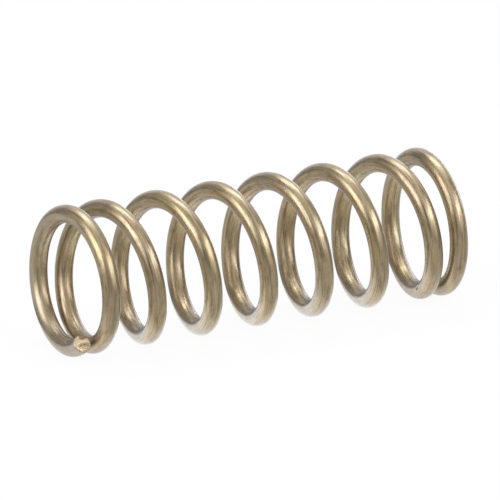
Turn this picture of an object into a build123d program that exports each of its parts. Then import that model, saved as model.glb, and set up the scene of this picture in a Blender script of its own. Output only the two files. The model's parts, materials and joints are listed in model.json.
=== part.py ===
from build123d import *
import math
import os

# Compression spring wound from one length of round wire, closed ends, not ground.
#
# It lies on its side. The coil's axis runs along +X and +Z is up. Angles round the axis
# are taken from +Y towards +Z, so the wire advances along +X as its angle grows, which
# makes the spring right-handed.

# Driving dimensions, in millimetres, degrees and turns of the coil
wire_diameter = 1.5
outer_diameter = 12.35
free_length = 36.0  # over both closed ends, along the axis

whole_turns = 8
left_tip_angle = -126.3  # where the wire starts
right_tip_angle = -84.0  # where it ends, this many whole turns later

left_closed_turns = 0.9  # coiled almost touching, from the tip
right_closed_turns = 0.76
opening_turns = 0.49  # from closed to fully open, at each end
end_gap = 0.23  # daylight between a closed turn and the next one
right_end_lean = 3.0  # the last turn is out of square by this much
lean_start = 0.8  # it leans fully up to here, in turns from its tip
lean_fade = 0.7  # and blends back to square over this many turns

tip_edge_radius = 0.12  # rounding left by the cutter on both cut ends
tear_width = 0.28  # groove torn across the left cut end
tear_slope = 11.0  # it deepens towards +X at this angle
points_per_turn = 16

# What follows from them
coil_radius = (outer_diameter - wire_diameter) / 2
end_pitch = wire_diameter + end_gap
total_turns = whole_turns + (right_tip_angle - left_tip_angle) / 360
open_turns = total_turns - left_closed_turns - right_closed_turns - opening_turns
wire_rise = free_length - wire_diameter
extra_pitch = (wire_rise - end_pitch * total_turns) / open_turns


def smooth_step(share):
    """0 up to a share of 0, 1 from a share of 1, and a smooth rise between."""
    share = min(max(share, 0.0), 1.0)
    return share * share * (3 - 2 * share)


def opened(turns, closed_turns):
    """How many fully open turns the first turns from a tip are worth."""
    share = min(max((turns - closed_turns) / opening_turns, 0.0), 1.0)
    ramp = opening_turns * (share**3 - share**4 / 2)
    beyond = max(turns - closed_turns - opening_turns, 0.0)
    return ramp + beyond


def advance(turns, closed_turns):
    """Distance along the axis that the wire covers in its first turns from a tip."""
    return end_pitch * turns + extra_pitch * opened(turns, closed_turns)


def centre_point(turn):
    """Point of the wire's centre line, this many turns after its left tip."""
    angle = math.radians(left_tip_angle) + 2 * math.pi * turn
    y = coil_radius * math.cos(angle)
    z = coil_radius * math.sin(angle)
    to_go = total_turns - turn
    if turn < to_go:
        x = advance(turn, left_closed_turns)
    else:
        x = wire_rise - advance(to_go, right_closed_turns)
    lean = 1 - smooth_step((to_go - lean_start) / lean_fade)
    return Vector(x + y * lean * math.tan(math.radians(right_end_lean)), y, z)


def wire_path():
    """Smooth curve through evenly spaced points of the centre line."""
    spans = round(total_turns * points_per_turn)
    points = [centre_point(total_turns * n / spans) for n in range(spans + 1)]
    return Spline(*points)


def left_tear(left_face):
    """The groove torn in the left end: a round rod that dips into it on the +X side."""
    rod = Cylinder(tear_width / 2, end_pitch)
    return left_face * Rot(0, 90 - tear_slope, 0) * rod


def coiled_wire():
    """Round wire swept along the coil, its two cut ends a little rounded, one torn."""
    path = wire_path()
    left_face = Plane(origin=path @ 0, x_dir=Vector(1, 0, 0), z_dir=path % 0)
    section = left_face * Circle(wire_diameter / 2)
    wire = sweep(section, path=path, is_frenet=True)
    ends = wire.faces().filter_by(GeomType.PLANE).edges()
    return fillet(ends, tip_edge_radius) - left_tear(left_face)


def laid_down(solid):
    """The solid on the floor, z = 0, with its middle over the origin."""
    box = solid.bounding_box()
    middle = box.center()
    return Pos(-middle.X, -middle.Y, -box.min.Z) * solid


spring = laid_down(coiled_wire())
os.makedirs("parts", exist_ok=True)
export_step(spring, "parts/spring.step")
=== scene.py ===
import json
import math

import bpy
import numpy as np
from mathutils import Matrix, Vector


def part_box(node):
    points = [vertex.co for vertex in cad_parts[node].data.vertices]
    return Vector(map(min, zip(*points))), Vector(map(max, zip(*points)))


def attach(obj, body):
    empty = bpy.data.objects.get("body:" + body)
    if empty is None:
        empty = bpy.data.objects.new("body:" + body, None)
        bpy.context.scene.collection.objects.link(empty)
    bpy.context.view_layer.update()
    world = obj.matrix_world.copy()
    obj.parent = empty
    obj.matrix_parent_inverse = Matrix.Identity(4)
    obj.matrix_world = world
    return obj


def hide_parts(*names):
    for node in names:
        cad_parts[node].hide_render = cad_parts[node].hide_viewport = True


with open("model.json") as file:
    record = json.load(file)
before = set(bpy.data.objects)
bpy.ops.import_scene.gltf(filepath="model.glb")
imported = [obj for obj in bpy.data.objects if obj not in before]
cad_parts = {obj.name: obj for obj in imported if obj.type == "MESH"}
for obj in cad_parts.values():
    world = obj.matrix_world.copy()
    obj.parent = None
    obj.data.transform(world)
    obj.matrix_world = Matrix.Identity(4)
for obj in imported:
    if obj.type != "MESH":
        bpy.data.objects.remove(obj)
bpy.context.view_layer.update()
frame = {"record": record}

# ---------------------------------------------------------------- the coiled wire
# The spring is one length of round brass wire, coiled cold and right-handed. The last turn at
# each end is closed almost onto its neighbour, and neither end is ground flat. The right end
# turn came off the coiler a few degrees out of square.
mm = 0.001
fits = {mount["name"]: mount["dims"] for mount in frame["record"]["mounts"]}
outer_radius = fits["housing_fit"]["r_mm"]
inner_radius = fits["guide_bore"]["r_mm"]
free_length = fits["guide_bore"]["length_mm"]
wire_radius = (outer_radius - inner_radius) / 2
coil_radius = (outer_radius + inner_radius) / 2

left_tip_degrees, right_tip_degrees = -126.3, -84.0  # round the axis, from +Y towards +Z
left_tip_angle = math.radians(left_tip_degrees)
turns = 8 + (right_tip_degrees - left_tip_degrees) / 360
left_closed, right_closed = 0.9, 0.76  # turns coiled almost touching
opening = 0.49  # turns from closed to fully open
end_gap = 0.23  # daylight between a closed turn and the next one
end_pitch = 2 * wire_radius + end_gap
lean = math.radians(3.0)
lean_start, lean_fade = 0.8, 0.7  # turns from the tip that lean fully, and turns to fade over
wire_rise = free_length - 2 * wire_radius
open_turns = turns - left_closed - right_closed - opening
extra_pitch = (wire_rise - end_pitch * turns) / open_turns


def smooth_step(share):
    """0 up to a share of 0, 1 from a share of 1, and 3 s^2 - 2 s^3 between."""
    share = np.clip(share, 0, 1)
    return share * share * (3 - 2 * share)


def advance(gone, closed):
    """Way along the axis after so many turns from a tip.

    The end pitch all the way, and on top of it the extra pitch, which comes in after the
    closed turns along a smooth step.
    """
    share = np.clip((gone - closed) / opening, 0, 1)
    opened = opening * (share**3 - share**4 / 2) + np.maximum(gone - closed - opening, 0)
    return end_pitch * gone + extra_pitch * opened


def centre_line(turn):
    """Centre of the wire in mm: a circle of the coil's radius that advances along X.

    Measured from both tips, so the two halves meet in the middle. The last turn is tipped
    over by the lean, which fades back to nothing.
    """
    angle = left_tip_angle + 2 * math.pi * turn
    y = coil_radius * np.cos(angle)
    z = coil_radius * np.sin(angle)
    to_go = turns - turn
    from_left = advance(turn, left_closed)
    from_right = wire_rise - advance(to_go, right_closed)
    x = np.where(turn < to_go, from_left, from_right)
    tipped = 1 - smooth_step((to_go - lean_start) / lean_fade)
    x = x + y * tipped * math.tan(lean)
    return np.stack([x, y, z], axis=-1)


def wire_frame(turn):
    """Centre, direction, outward normal and side of the wire at each turn.

    The direction is the centre line's slope. Outward points away from the coil's axis, made
    square to the direction, and side is direction x outward.
    """
    step = 1e-4
    centre = centre_line(turn)
    ahead = centre_line(turn + step) - centre_line(turn - step)
    ahead /= np.linalg.norm(ahead, axis=-1, keepdims=True)
    outward = centre * (0, 1, 1)
    outward -= ahead * np.sum(ahead * outward, axis=-1, keepdims=True)
    outward /= np.linalg.norm(outward, axis=-1, keepdims=True)
    return centre, ahead, outward, np.cross(ahead, outward)


# ---------------------------------------------------------------- the cut ends
# Both ends were sheared off by the coiler's cutter. The left one shows it: a torn groove runs
# across the face, the lower edge is rolled over, and the metal is fresh and bright.
edge_radius = 0.10
rollover = 0.09  # more rounding on the outer side of the coil
tear_width, tear_depth = 0.13, 0.12
ridge_spacing = 0.15
around = 96  # points round the wire
face_rings, edge_rings = 22, 8
left_rings, middle_rings, right_rings, mark_rings = 90, 640, 60, 13
close_turns = 0.22  # the turns near a tip that have closer rings


def ripples(x, y, count, size, seed):
    """Rough ground: a sum of sine waves in random directions, each with a random phase."""
    draw = np.random.default_rng(seed)
    heading = draw.uniform(0, 2 * math.pi, count)
    waves = 2 * math.pi / (size * draw.uniform(0.6, 1.8, count))
    phase = draw.uniform(0, 2 * math.pi, count)
    way = x[..., None] * np.cos(heading) + y[..., None] * np.sin(heading)
    return np.sin(way * waves + phase).sum(axis=-1) / math.sqrt(count)


def groove_middle(along):
    """Height of the torn groove on the face: an arch, highest a little right of the middle."""
    return -0.04 - 0.5 * (along - 0.2) ** 2


def groove(along, up):
    """1 in the middle of the groove, on a bell curve across it; it starts left of the middle."""
    deepens = smooth_step((along + 0.50) / 0.45)
    return deepens * np.exp(-(((up - groove_middle(along)) / tear_width) ** 2))


def broken(along, up):
    """1 on the rough break under the groove, fading out to the left and upwards."""
    return smooth_step((groove_middle(along) + 0.05 - up) / 0.12) * smooth_step((along + 0.35) / 0.4)


def at_bottom(up):
    """1 along the bottom of a face, fading out upwards."""
    return smooth_step((-up - 0.30) / 0.2)


def ridge_wave(along, up):
    """A cosine wave across the break, 1 on the arch of the groove and at each spacing from it."""
    return np.cos((up - groove_middle(along)) * 2 * math.pi / ridge_spacing)


def torn_face(along, up):
    """Height of the left face over its plane, in mm: mostly below, and barely above it anywhere.

    The upper part was sheared smooth and rolls off at the top. The groove is cut into it, and
    the break below it has ridges that follow the arch, on rough ground.
    """
    rough = 1.6 + ripples(along, up, 24, 0.26, 5)
    ridges = 0.5 + 0.5 * ridge_wave(along, up)
    rolled = smooth_step((up - 0.30) / 0.35)
    rest = broken(along, up)
    relief = 0.007 * rough * (1 + 2.5 * rest) + 0.035 * ridges * rest
    return -tear_depth * groove(along, up) - relief - 0.05 * rolled


def painted_cut_shade(along, up):
    """How much painted brown shade lies on the fresh metal of the cut, from 0 to 1.

    The painted shade lies along the right of the top rim, in the groove, between the ridges and
    in a thin crease line just above the bottom lip.
    """
    rim = smooth_step((up - 0.27 - 0.12 * np.abs(along - 0.25)) / 0.14)
    top = rim * smooth_step((along + 0.25) / 0.3)
    hollows = 0.5 - 0.5 * ridge_wave(along, up)
    reach = np.hypot(along, up)
    line = np.exp(-(((reach - 0.60) / 0.03) ** 2)) * at_bottom(up)
    parts = [0.85 * top, 0.6 * groove(along, up), 0.75 * hollows * broken(along, up), 0.8 * line]
    return np.stack(parts).max(axis=0)


def plain_face(along, up):
    """Height of the right face: nearly flat, with fine shear marks."""
    return -0.008 * (1.6 + ripples(along, up, 16, 0.3, 11))


def across(radius, angle):
    """Place on a face: along runs with the coil's axis, and up towards it."""
    return -radius * np.sin(angle), -radius * np.cos(angle)


def end_rings(angle, face, rolled):
    """Radius and height over the cut plane of the rings from a face's middle to its edge.

    Rings spread evenly over the flat, then follow a quarter circle down onto the wire. The
    edge radius grows by the rolled share towards the outer side of the coil.
    """
    edge = edge_radius + rolled * (0.5 + 0.5 * np.cos(angle))
    flat = np.linspace(0, 1, face_rings)[1:, None] * (wire_radius - edge)
    quarter = np.linspace(0, math.pi / 2, edge_rings + 1)[1:, None]
    radius = np.concatenate([flat, wire_radius - edge + edge * np.sin(quarter)])
    height = np.concatenate([flat * 0, edge * (np.cos(quarter) - 1)])
    fade = smooth_step((wire_radius - radius) / edge_radius)
    return radius, height + face(*across(radius, angle)) * fade


# Marks on the wire's surface, each at a turn and at degrees round the section. Length, width
# and depth are in mm, and a depth below zero is metal pushed up.
marks = [
    (0.047, 140, 0.90, 0.15, 0.065),  # the scrape beside the left cut
    (0.045, 130, 0.95, 0.13, -0.030),  # the burr under it
    (0.010, 131, 0.22, 0.14, 0.040),  # its end at the cut
    (7.014, 99, 0.58, 0.24, 0.080),  # knocks from handling
    (6.966, 117, 0.40, 0.11, 0.035),
    (7.5427, 70, 0.36, 0.13, 0.060),
    (2.8985, 92, 0.22, 0.12, 0.030),
]
pit_shade_per_mm = 15  # how fast the painted shade in the marks darkens as they get deeper
turn_length = 2 * math.pi * coil_radius


def knocks(turn, angle):
    """How far the marks push the surface in: a bell-shaped pit for each, summed."""
    depth = np.zeros(np.broadcast_shapes(turn.shape, angle.shape))
    for at_turn, at_angle, length, width, deep in marks:
        run = (turn - at_turn) * turn_length / (length / 2)
        swing = (angle - math.radians(at_angle) + math.pi) % (2 * math.pi) - math.pi
        side = swing * wire_radius / (width / 2)
        depth = depth + deep * np.exp(-(run**2) - side**2)
    return depth


def bare(radius, angle):
    """1 on the cut face, less towards its left, and 0 on its rounded edge and bottom lip."""
    along, up = across(radius, angle)
    clean = 0.45 + 0.55 * smooth_step((along + 0.62) / 0.35)
    lip = smooth_step((radius - 0.61) / 0.04) * at_bottom(up)
    return smooth_step((wire_radius - radius) / edge_radius + 0.1) * (1 - lip) * clean


def wire_rings():
    """All rings of the wire from the middle of one face to the middle of the other.

    Returns each point's turn, angle and radius round the section, its way past the cut along
    the wire, how fresh its metal is, how much painted brown shade lies on the cut face, and how
    much painted shade darkens the marks there.
    """
    angle = np.linspace(0, 2 * math.pi, around, endpoint=False)[None, :]
    start = (edge_radius + rollover) / turn_length
    spread = np.linspace(-1.2, 1.2, mark_rings) / turn_length
    turn = np.concatenate([
        np.linspace(start, close_turns, left_rings, endpoint=False),
        np.linspace(close_turns, turns - close_turns, middle_rings, endpoint=False),
        np.linspace(turns - close_turns, turns - start, right_rings),
        *[mark[0] + spread * mark[2] for mark in marks],
    ])
    turn = np.unique(turn.clip(start, turns - start))[:, None] + 0 * angle
    pushed_in = knocks(turn, angle)
    radius = wire_radius - pushed_in
    left_radius, left_height = end_rings(angle, torn_face, rollover)
    right_radius, right_height = end_rings(angle, plain_face, 0.0)
    at_left = 0 * left_radius
    at_right = at_left + turns
    return (
        np.concatenate([at_left, turn, at_right[::-1]]),
        angle,
        np.concatenate([left_radius, radius, right_radius[::-1]]),
        np.concatenate([-left_height, 0 * turn, right_height[::-1]]),
        np.concatenate([bare(left_radius, angle), 0 * turn, 0.6 * bare(right_radius, angle)[::-1]]),
        # painted brown shade on the left cut face, none on the right one
        np.concatenate([painted_cut_shade(*across(left_radius, angle)), 0 * turn, at_right * 0]),
        # painted shade in the pits of the marks, darker the deeper they go
        np.concatenate([at_left * 0, (pit_shade_per_mm * pushed_in).clip(0, 1), at_right * 0]),
    )


def build_wire():
    """The whole wire as one closed skin, with what its points carry for the finish.

    A point is centre + radius (cos a outward + sin a side) + way ahead, on a grid of rings
    by angle, and one point closes the middle of each face. Laid straight, the same point is
    the way along the wire and the radius times cos a and sin a.
    """
    turn, angle, radius, past, fresh, cut_shade, pit_shaded = wire_rings()
    centre, ahead, outward, side = wire_frame(turn[:, :1])
    points = centre + ahead * past[..., None]
    points = points + outward * (radius * np.cos(angle))[..., None]
    points = points + side * (radius * np.sin(angle))[..., None]
    rings = len(points)
    poles = np.stack([points[0].mean(axis=0), points[-1].mean(axis=0)])
    here = np.arange(around)
    there = (here + 1) % around
    row = np.arange(rings - 1)[:, None] * around
    quads = np.stack([row + here, row + there, row + around + there, row + around + here], axis=-1)
    first, last = rings * around, rings * around + 1
    base = (rings - 1) * around
    start_fan = np.stack([there, here, here * 0 + first], axis=-1)
    end_fan = np.stack([base + here, base + there, here * 0 + last], axis=-1)
    corners = np.concatenate([points.reshape(-1, 3), poles])
    faces = quads.reshape(-1, 4)[:, ::-1].tolist()
    faces += start_fan[:, ::-1].tolist() + end_fan[:, ::-1].tolist()
    run = turn * turn_length + past
    straight = np.stack([run, radius * np.cos(angle), radius * np.sin(angle)], axis=-1)
    ends = [[0, 0, 0], [turns * turn_length, 0, 0]]
    straight = np.concatenate([straight.reshape(-1, 3), ends])
    fresh = np.concatenate([fresh.ravel(), [1, 0.6]])
    cut_shade = np.concatenate([cut_shade.ravel(), [0, 0]])
    pit_shaded = np.concatenate([pit_shaded.ravel(), [0, 0]])
    return corners, faces, straight, fresh, cut_shade, pit_shaded


corners, faces, straight, fresh, cut_shade, pit_shaded = build_wire()
low, high = (np.array(corner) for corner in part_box("spring"))
reach = corners.max(axis=0) - corners.min(axis=0)
middle = (corners.min(axis=0) + corners.max(axis=0)) / 2
corners = (corners - middle) / reach * (high - low) + (low + high) / 2
wire_mesh = bpy.data.meshes.new("spring_wire")
wire_mesh.from_pydata(corners.tolist(), [], faces)
wire_mesh.polygons.foreach_set("use_smooth", np.ones(len(faces), bool))
laid_straight = wire_mesh.attributes.new("laid_straight", "FLOAT_VECTOR", "POINT")
laid_straight.data.foreach_set("vector", straight.astype(np.float32).ravel())
# fresh metal is the cuts' own colour; the other two carry painted shade
for carried, values in (("fresh_metal", fresh), ("painted_cut_shade_share", cut_shade), ("painted_pit_shade", pit_shaded)):
    store = wire_mesh.attributes.new(carried, "FLOAT", "POINT")
    store.data.foreach_set("value", values.astype(np.float32))
wire_mesh.update()
spring_wire = bpy.data.objects.new("spring_wire", wire_mesh)
bpy.context.scene.collection.objects.link(spring_wire)

# ---------------------------------------------------------------- the drawn finish
# The wire is drawn brass, left as it came from the die: satin, with fine lines along it under a
# thin film of oil. It has gone olive, pinkish and amber in places and greyer towards the left
# cut. The cuts are golden, with painted brown shade on the left one, and the marks are
# darkened with painted shade that deepens with them.
brass = (0.500, 0.386, 0.218, 1)
olive = (0.405, 0.358, 0.200, 1)
pinkish = (0.530, 0.368, 0.224, 1)
amber = (0.490, 0.372, 0.172, 1)
tarnish = (0.205, 0.158, 0.092, 1)
rubbed = (0.640, 0.510, 0.320, 1)
pewter = (0.470, 0.395, 0.300, 1)
fresh_gold = (0.950, 0.810, 0.510, 1)
# painted brown shade for the left cut face
cut_shade_brown = (0.290, 0.160, 0.090, 1)
# painted shade for the pits of the marks
pit_shade_colour = (0.085, 0.075, 0.052, 1)
finish = bpy.data.materials.new("drawn_brass")
finish.use_nodes = True
nodes, links = finish.node_tree.nodes, finish.node_tree.links
shader = nodes["Principled BSDF"]
shader.inputs["Metallic"].default_value = 1
shader.inputs["Coat Weight"].default_value = 1
shader.inputs["Coat Roughness"].default_value = 0.25
shader.inputs["Coat IOR"].default_value = 1.5
shader.inputs["Specular Tint"].default_value = (0.64, 0.67, 0.80, 1)


def carried_by_wire(name):
    """What the wire's points carry under a name."""
    node = nodes.new("ShaderNodeAttribute")
    node.attribute_name = name
    return node.outputs


straight_wire = carried_by_wire("laid_straight")["Vector"]


def grain(stretch, detail):
    """Noise on the wire laid out straight: so many cells per mm along and across it."""
    scale = nodes.new("ShaderNodeVectorMath")
    scale.operation = "MULTIPLY"
    scale.inputs[1].default_value = stretch
    links.new(straight_wire, scale.inputs[0])
    noise = nodes.new("ShaderNodeTexNoise")
    noise.inputs["Scale"].default_value = 1
    noise.inputs["Detail"].default_value = detail
    noise.inputs["Roughness"].default_value = 0.6
    links.new(scale.outputs[0], noise.inputs["Vector"])
    return noise.outputs["Fac"]


def ramp(value, start, end, low, high):
    """Carries a value from start..end to low..high, smoothly and no further."""
    node = nodes.new("ShaderNodeMapRange")
    node.interpolation_type = "SMOOTHSTEP"
    node.inputs["From Min"].default_value = start
    node.inputs["From Max"].default_value = end
    node.inputs["To Min"].default_value = low
    node.inputs["To Max"].default_value = high
    links.new(value, node.inputs["Value"])
    return node.outputs["Result"]


def figure(kind, first, second):
    """One sum on two values."""
    node = nodes.new("ShaderNodeMath")
    node.operation = kind
    for socket, value in zip(node.inputs, (first, second)):
        if isinstance(value, float):
            socket.default_value = value
        else:
            links.new(value, socket)
    return node.outputs[0]


def tinted(under, over, share):
    """Lays a colour over another by a share."""
    node = nodes.new("ShaderNodeMix")
    node.data_type = "RGBA"
    links.new(share, node.inputs["Factor"])
    for socket, colour in ((node.inputs[6], under), (node.inputs[7], over)):
        if isinstance(colour, tuple):
            socket.default_value = colour
        else:
            links.new(colour, socket)
    return node.outputs[2]


die_lines = grain((0.15, 9, 9), 5)
fine_lines = grain((0.5, 17, 17), 2)
bloom = grain((0.22, 1.1, 1.1), 3)
patches = grain((0.7, 1.5, 1.5), 2)
warmth = grain((0.13, 0.8, 0.8), 3)
specks = grain((9, 11, 11), 2)
mottle = grain((1.1, 2.4, 2.4), 3)
fresh_share = carried_by_wire("fresh_metal")["Fac"]
cut_shade_share = carried_by_wire("painted_cut_shade_share")["Fac"]
pit_shade_share = carried_by_wire("painted_pit_shade")["Fac"]
mm_along = nodes.new("ShaderNodeSeparateXYZ")
links.new(straight_wire, mm_along.inputs[0])

skin = tinted(brass, olive, ramp(bloom, 0.50, 0.66, 0, 0.8))
skin = tinted(skin, pinkish, ramp(patches, 0.52, 0.68, 0, 0.8))
skin = tinted(skin, amber, ramp(warmth, 0.50, 0.62, 0, 0.7))
skin = tinted(skin, tarnish, ramp(mottle, 0.48, 0.32, 0, 0.5))
skin = tinted(skin, rubbed, ramp(mottle, 0.54, 0.68, 0, 0.5))
skin = tinted(skin, tarnish, ramp(die_lines, 0.46, 0.32, 0, 0.5))
skin = tinted(skin, rubbed, ramp(die_lines, 0.54, 0.68, 0, 0.6))
skin = tinted(skin, tarnish, ramp(fine_lines, 0.50, 0.32, 0, 0.8))
skin = tinted(skin, tarnish, ramp(specks, 0.60, 0.72, 0, 0.7))
skin = tinted(skin, pewter, ramp(mm_along.outputs["X"], 2.0, 26.0, 0.4, 0))
skin = tinted(skin, fresh_gold, fresh_share)
# painted brown shade over the left cut's top rim, groove, ridges and lip crease
skin = tinted(skin, cut_shade_brown, cut_shade_share)
# painted shade in the marks' pits
skin = tinted(skin, pit_shade_colour, pit_shade_share)
links.new(skin, shader.inputs["Base Color"])

satin = ramp(fine_lines, 0.30, 0.70, 0.28, 0.37)
satin = figure("ADD", satin, ramp(patches, 0.35, 0.70, 0.05, -0.04))
satin = figure("ADD", satin, figure("MULTIPLY", fresh_share, 0.12))
links.new(satin, shader.inputs["Roughness"])

relief = figure("ADD", die_lines, figure("MULTIPLY", fine_lines, 0.35))
relief = figure("ADD", relief, figure("MULTIPLY", patches, 0.4))
pitted = figure("MULTIPLY", specks, ramp(bloom, 0.46, 0.60, 0.1, 1.0))
relief = figure("ADD", relief, figure("MULTIPLY", pitted, 0.6))
bump = nodes.new("ShaderNodeBump")
bump.inputs["Strength"].default_value = 0.75
bump.inputs["Distance"].default_value = 0.02 * mm
links.new(relief, bump.inputs["Height"])
links.new(bump.outputs["Normal"], shader.inputs["Normal"])
wire_mesh.materials.append(finish)

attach(spring_wire, "root")
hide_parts("spring")

# ---------------------------------------------------------------- the white table
# A plain white sheet that runs out of sight under the spring. It keeps a faint shadow.
centre_of_spring = (low + high) / 2
sheet_half = 2.0
glow_share = 0.94  # of the white; the rest is lit by the lamps and takes the shadow
sheet_mesh = bpy.data.meshes.new("white_sheet")
sheet_corners = [(-sheet_half, -sheet_half, 0), (sheet_half, -sheet_half, 0),
                 (sheet_half, sheet_half, 0), (-sheet_half, sheet_half, 0)]
sheet_mesh.from_pydata(sheet_corners, [], [(0, 1, 2, 3)])
white_sheet = bpy.data.objects.new("white_sheet", sheet_mesh)
bpy.context.scene.collection.objects.link(white_sheet)


def seen_directly(tree):
    """1 for rays from the camera, off metal or through glass, and 0 for diffuse light."""
    path = tree.nodes.new("ShaderNodeLightPath")
    total = path.outputs["Is Camera Ray"]
    for name in ("Is Glossy Ray", "Is Transmission Ray"):
        adder = tree.nodes.new("ShaderNodeMath")
        adder.use_clamp = True
        tree.links.new(total, adder.inputs[0])
        tree.links.new(path.outputs[name], adder.inputs[1])
        total = adder.outputs[0]
    return total


paper = bpy.data.materials.new("white_paper")
paper.use_nodes = True
tree = paper.node_tree
tree.nodes.clear()
matt = tree.nodes.new("ShaderNodeBsdfDiffuse")
matt.inputs["Color"].default_value = (0.9, 0.9, 0.9, 1)
glow = tree.nodes.new("ShaderNodeEmission")
blend = tree.nodes.new("ShaderNodeMixShader")
share = tree.nodes.new("ShaderNodeMath")
share.operation = "MULTIPLY"
share.inputs[1].default_value = glow_share
out = tree.nodes.new("ShaderNodeOutputMaterial")
tree.links.new(seen_directly(tree), share.inputs[0])
tree.links.new(share.outputs[0], blend.inputs["Fac"])
tree.links.new(matt.outputs[0], blend.inputs[1])
tree.links.new(glow.outputs[0], blend.inputs[2])
tree.links.new(blend.outputs[0], out.inputs["Surface"])
paper.cycles.emission_sampling = "NONE"
sheet_mesh.materials.append(paper)

# ---------------------------------------------------------------- the light
# A white room with two soft boxes in front, one each side of the camera, a third high behind
# and a low one behind on the right. Grey cards hung between them or laid on the table, a low
# strip behind the spring and a bright card under it give the metal its bands.
world = bpy.data.worlds.new("white_room")
bpy.context.scene.world = world
world.use_nodes = True
world.cycles.sampling_method = "NONE"  # so that metal sees its full white
sky = world.node_tree.nodes["Background"]
sky.inputs["Color"].default_value = (1, 1, 1, 1)
room_level = 0.6
level = world.node_tree.nodes.new("ShaderNodeMapRange")
level.inputs["To Min"].default_value = room_level
level.inputs["To Max"].default_value = 1
world.node_tree.links.new(seen_directly(world.node_tree), level.inputs["Value"])
world.node_tree.links.new(level.outputs[0], sky.inputs["Strength"])


def towards(azimuth, elevation):
    """Unit vector at an azimuth from -Y towards +X, and an elevation over the floor."""
    turn, rise = math.radians(azimuth), math.radians(elevation)
    return np.array([math.sin(turn) * math.cos(rise), -math.cos(turn) * math.cos(rise), math.sin(rise)])


def facing(position, target):
    """Rotation that turns a thing's -Z from its position to a target, with its Y upwards."""
    return Vector((target - position).tolist()).to_track_quat("-Z", "Y")


def soft_box(name, azimuth, elevation, half_width, half_height, radiance):
    """A lamp facing the spring, as large as it looks from there, in degrees each way.

    Its power is its radiance times pi times its area.
    """
    distance = 0.35
    lamp = bpy.data.lights.new(name, "AREA")
    lamp.shape = "RECTANGLE"
    lamp.color = (0.98, 1.0, 1.12)  # daylight tubes
    lamp.size = 2 * distance * math.tan(math.radians(half_width))
    lamp.size_y = 2 * distance * math.tan(math.radians(half_height))
    lamp.energy = radiance * math.pi * lamp.size * lamp.size_y
    holder = bpy.data.objects.new(name, lamp)
    bpy.context.scene.collection.objects.link(holder)
    place = centre_of_spring + distance * towards(azimuth, elevation)
    holder.location = place
    holder.rotation_euler = facing(place, centre_of_spring).to_euler()
    holder.visible_camera = False


def card_paint(name, grey, tint):
    """An even grey times a tint, clear where the card's points say that it is thin."""
    paint = bpy.data.materials.new(name)
    paint.use_nodes = True
    paint.cycles.emission_sampling = "NONE"
    tree = paint.node_tree
    tree.nodes.clear()
    dull = tree.nodes.new("ShaderNodeEmission")
    dull.inputs["Color"].default_value = (grey * tint[0], grey * tint[1], grey * tint[2], 1)
    clear = tree.nodes.new("ShaderNodeBsdfTransparent")
    thick = tree.nodes.new("ShaderNodeAttribute")
    thick.attribute_name = "thickness"
    thinned = tree.nodes.new("ShaderNodeMixShader")
    end = tree.nodes.new("ShaderNodeOutputMaterial")
    tree.links.new(thick.outputs["Fac"], thinned.inputs["Fac"])
    tree.links.new(clear.outputs[0], thinned.inputs[1])
    tree.links.new(dull.outputs[0], thinned.inputs[2])
    tree.links.new(thinned.outputs[0], end.inputs["Surface"])
    return paint


def flag(name, corners, grey, feather, tint=(1, 1, 1)):
    """A card that only the metal's reflections see, with soft edges.

    It takes four corners, and the share of each side over which it thins out: (left, right,
    near, far). It is a grid of 4 by 4 points, clear round the border and full inside, and a
    side with no share stays full to its edge.
    """
    left, right, near, far = feather
    u = np.array([0, left, 1 - right, 1])[None, :, None]
    v = np.array([0, near, 1 - far, 1])[:, None, None]
    a, b, c, d = (np.array(corner, float) for corner in corners)
    points = (a * (1 - u) + b * u) * (1 - v) + (d * (1 - u) + c * u) * v
    full_u = np.array([left == 0, 1, 1, right == 0])
    full_v = np.array([near == 0, 1, 1, far == 0])
    thickness = np.outer(full_v, full_u).astype(np.float32)
    here = (np.arange(3)[:, None] * 4 + np.arange(3)).ravel()
    quads = np.stack([here, here + 1, here + 5, here + 4], axis=-1)
    card_mesh = bpy.data.meshes.new(name)
    card_mesh.from_pydata(points.reshape(-1, 3).tolist(), [], quads.tolist())
    card_mesh.attributes.new("thickness", "FLOAT", "POINT").data.foreach_set("value", thickness.ravel())
    card = bpy.data.objects.new(name, card_mesh)
    bpy.context.scene.collection.objects.link(card)
    card_mesh.materials.append(card_paint(name, grey, tint))
    card.visible_camera = False
    card.visible_diffuse = False
    card.visible_shadow = False
    card.visible_transmission = False


def hung_flag(name, azimuth, elevation, half_width, half_height, grey, distance=0.5):
    """A flag facing the spring, as large as it looks from there, in degrees each way."""
    place = centre_of_spring + distance * towards(azimuth, elevation)
    turn = facing(place, centre_of_spring)
    wide = distance * math.tan(math.radians(half_width))
    tall = distance * math.tan(math.radians(half_height))
    corners = []
    for x, y in ((-wide, -tall), (wide, -tall), (wide, tall), (-wide, tall)):
        corners.append(np.array(turn @ Vector((x, y, 0))) + place)
    flag(name, corners, grey, (0.12, 0.12, 0.12, 0.12))


def laid_flag(name, near_left, far_right, lift, grey, feather, tint=(1, 1, 1)):
    """A flag lying level, lifted a little off the table, from one corner to the other."""
    (x0, y0), (x1, y1) = near_left, far_right
    corners = [(x0, y0, lift), (x1, y0, lift), (x1, y1, lift), (x0, y1, lift)]
    flag(name, corners, grey, feather, tint)


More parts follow.
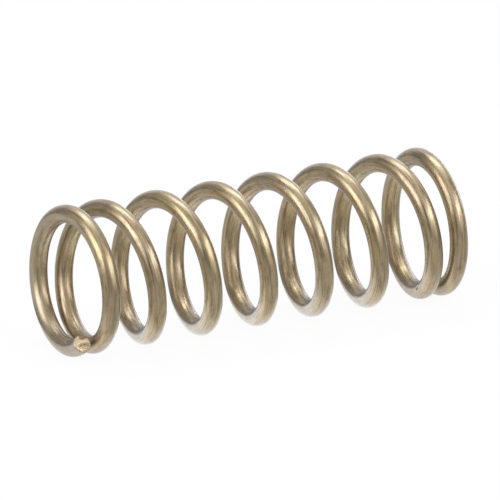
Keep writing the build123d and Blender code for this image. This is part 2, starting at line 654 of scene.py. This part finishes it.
soft_box("left_soft_box", -83, 29, 23, 18, 2.85)
soft_box("right_soft_box", 36, 30, 30, 10, 2.85)
soft_box("rear_soft_box", 158, 66, 21, 9, 2.85)
soft_box("low_soft_box", 122, 5, 22, 5, 2.0)
hung_flag("camera_flag", -41, 32, 46, 45, 0.17, 0.6)
hung_flag("top_flag", -6, 45, 46, 42, 0.74, 0.55)
hung_flag("left_flag", -144, 15, 31, 46, 0.34)
hung_flag("right_flag", 76, 24, 19, 32, 0.14)
hung_flag("back_flag", 163, 20, 24, 24, 0.84, 0.52)
laid_flag("front_flag", (-0.5, -0.5), (0.5, -0.006), 0.02 * mm, 0.38, (0, 0, 0, 0.01))
laid_flag("left_table_flag", (-0.5, -0.012), (-0.021, 0.5), 0.03 * mm, 0.5, (0, 0.01, 0, 0))
laid_flag("right_table_flag", (0.021, -0.012), (0.5, 0.009), 0.03 * mm, 0.6, (0.01, 0, 0, 0.2))
laid_flag("rear_table_flag", (-0.5, 0.009), (0.5, 0.1), 0.05 * mm, 0.74, (0, 0, 0.03, 0.2))
strip_end, strip_back, strip_height = 0.03, 0.0078, 0.0026
strip_corners = [(-strip_end, strip_back, 0), (strip_end, strip_back, 0),
                 (strip_end, strip_back, strip_height), (-strip_end, strip_back, strip_height)]
flag("rear_strip", strip_corners, 0.32, (0.05, 0.05, 0, 0.4))
laid_flag("front_card", (-0.04, -0.035), (0.04, -0.0045), 0.055 * mm, 0.62, (0.2, 0.2, 0.4, 0.05))
laid_flag("near_card", (-0.0155, -0.005), (0.0145, 0.0072), 0.06 * mm, 1.42, (0.08, 0.08, 0.25, 0.25),
          (0.955, 1, 1.05))
laid_flag("back_table_flag", (-0.5, 0.021), (0.003, 0.5), 0.04 * mm, 0.31, (0, 0.01, 0.01, 0))

# ---------------------------------------------------------------- the camera
# It stands far off with a long lens, a little left of the front and a little above the table,
# and takes in the whole spring.
view_azimuth, view_elevation = -28.896, 17.370
camera_distance = 1.356
frame_width = 0.040755  # how much the lens takes in at the spring
aim_rise = 0.000082
film_width = 36
camera_data = bpy.data.cameras.new("camera")
camera_data.sensor_width = film_width
camera_data.lens = film_width * camera_distance / frame_width
camera_data.clip_end = 10
camera = bpy.data.objects.new("camera", camera_data)
bpy.context.scene.collection.objects.link(camera)
view = towards(view_azimuth, view_elevation)
up = towards(view_azimuth, view_elevation + 90)
aim = centre_of_spring + up * aim_rise
camera.location = aim + view * camera_distance
camera.rotation_euler = facing(aim + view * camera_distance, aim).to_euler()
bpy.context.scene.camera = camera
bpy.context.scene.view_settings.view_transform = "Standard"
